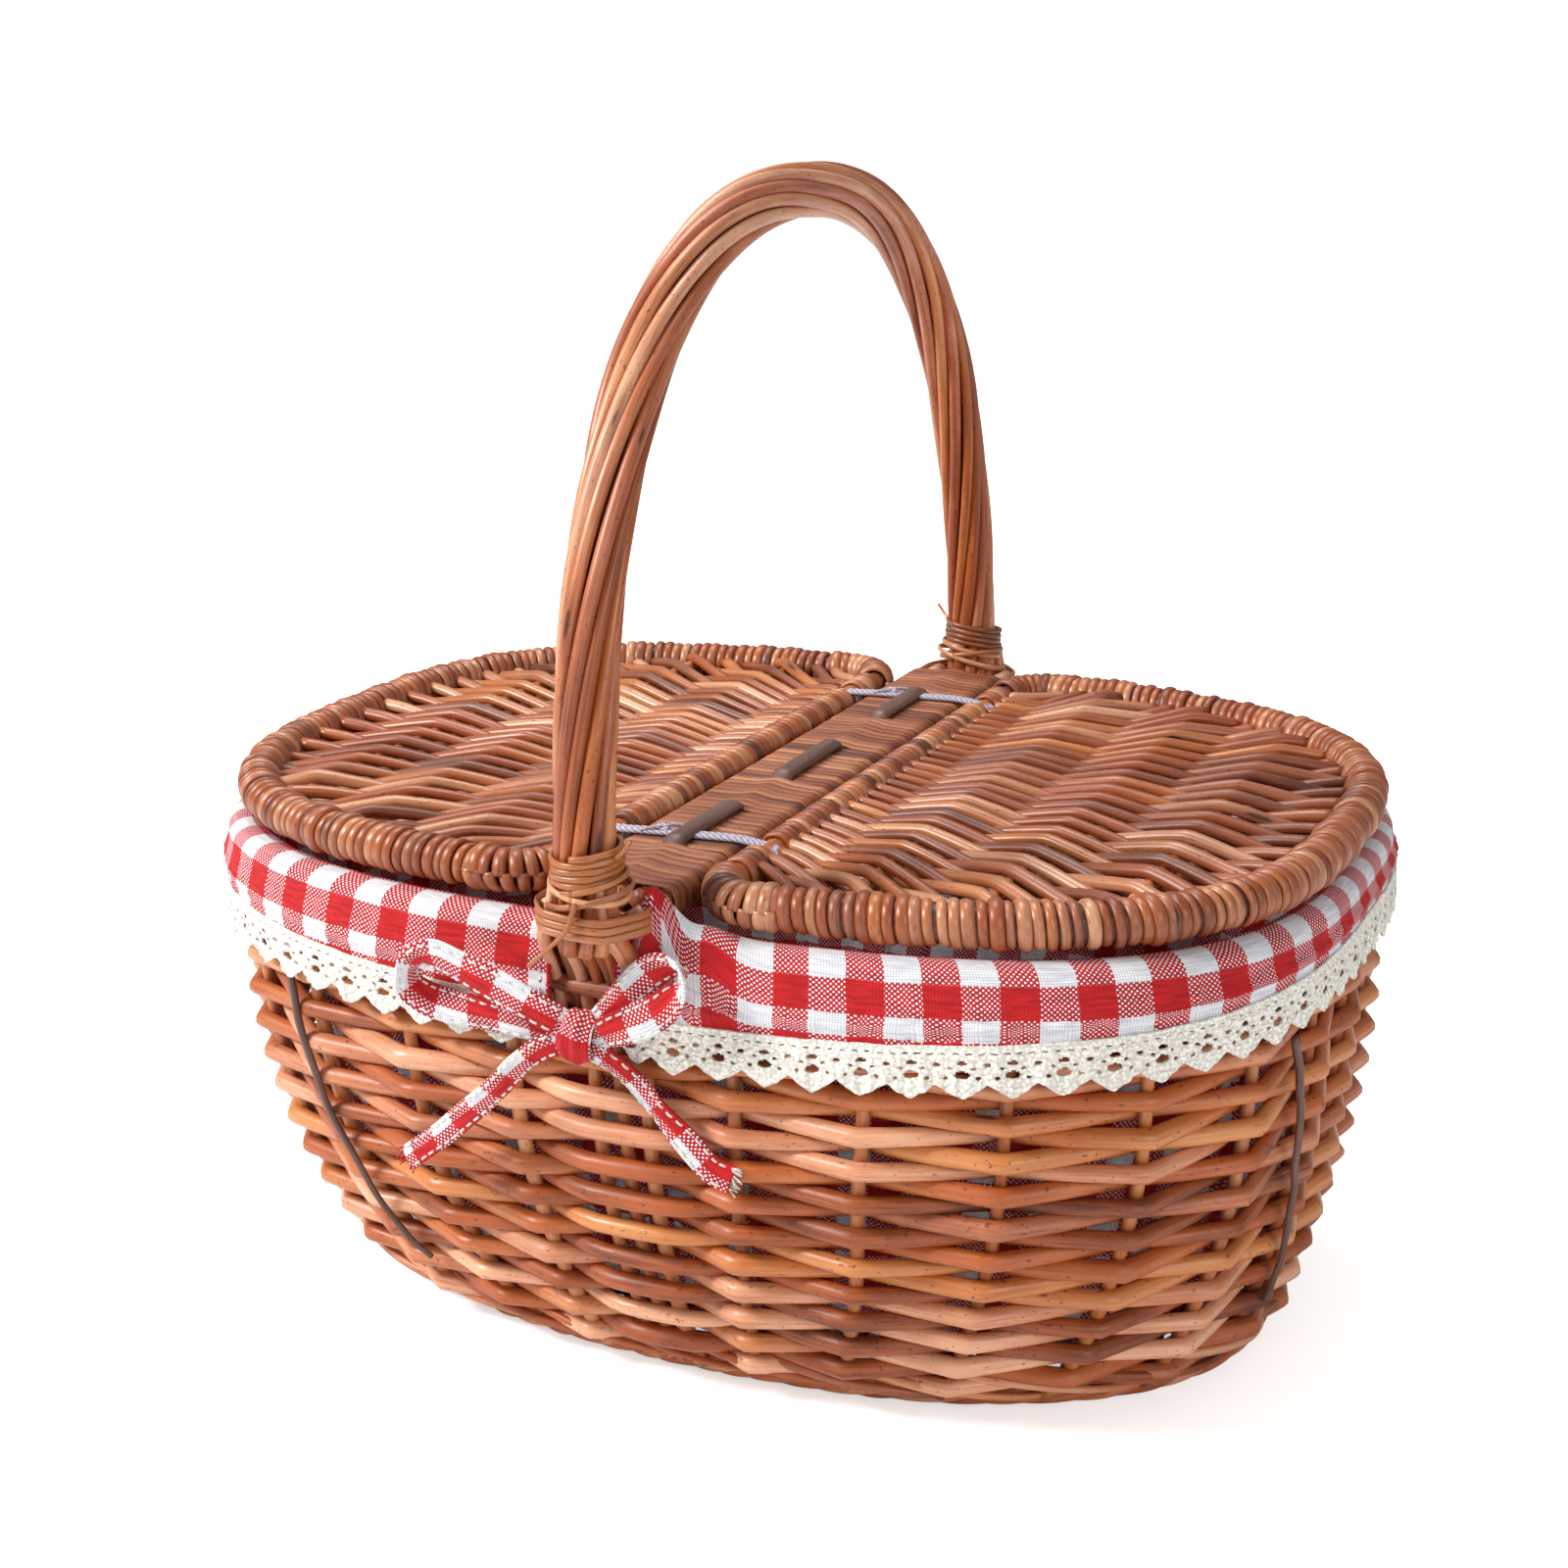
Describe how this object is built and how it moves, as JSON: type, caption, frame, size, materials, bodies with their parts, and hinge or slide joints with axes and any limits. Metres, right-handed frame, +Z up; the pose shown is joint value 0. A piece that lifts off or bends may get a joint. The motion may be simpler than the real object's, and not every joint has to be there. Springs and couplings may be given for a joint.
{
  "type": "picnic basket",
  "caption": "Oval woven willow picnic basket with a fixed twisted arch handle, centre bar, two hinged lids and a gingham liner folded over its rim.",
  "frame": {"origin": "centre of the surface it stands on, under the middle of the centre bar", "axes": "+X from lid to lid, +Y from handle foot to handle foot, +Z up"},
  "size_m": [0.4106, 0.3626, 0.4007],
  "materials": {
    "willow": "satin stained peeled willow",
    "willow_dark": "satin stained willow, darker",
    "cane": "satin split cane",
    "grey_stick": "matt grey brown stick",
    "twine": "matt twisted twine",
    "gingham": "matt red and white gingham cotton",
    "lace": "matt cotton crochet lace"
  },
  "bodies": {
    "basket": {"foot_border": "willow_dark", "base_weave": "willow", "base_sticks": "willow_dark", "side_stakes": "willow_dark", "side_weave": "willow", "rim_border": "willow_dark", "handle_core": "willow_dark", "handle_rods": "willow", "handle_binding_front": "cane", "handle_binding_back": "cane", "handle_tails_front": "willow", "handle_tails_back": "willow", "bar_sticks": "willow_dark", "bar_wrap": "cane", "bar_dark_stick": "grey_stick", "bar_lashing_front": "cane", "bar_lashing_back": "cane", "hinge_cord_front": "twine", "hinge_cord_back": "twine", "liner_bag": "gingham", "liner_skirt_left": "gingham", "liner_skirt_right": "gingham", "lace_left": "lace", "lace_right": "lace", "tie_bow_front": "gingham", "tie_bow_back": "gingham"},
    "left_lid": {"left_lid_hoop": "willow_dark", "left_lid_hinge_rod": "willow", "left_lid_ribs": "willow_dark", "left_lid_weave": "willow", "left_lid_corner_bindings": "cane"},
    "right_lid": {"right_lid_hoop": "willow_dark", "right_lid_hinge_rod": "willow", "right_lid_ribs": "willow_dark", "right_lid_weave": "willow", "right_lid_corner_bindings": "cane"}
  },
  "joints": [
    {"name": "left_lid_hinge", "type": "hinge", "parent": "basket", "child": "left_lid", "pos_m": [-0.0285, 0, 0.1881], "axis": [0, 1, 0], "range_deg": [0, 95]},
    {"name": "right_lid_hinge", "type": "hinge", "parent": "basket", "child": "right_lid", "pos_m": [0.0285, 0, 0.1881], "axis": [0, -1, 0], "range_deg": [0, 95]}
  ]
}
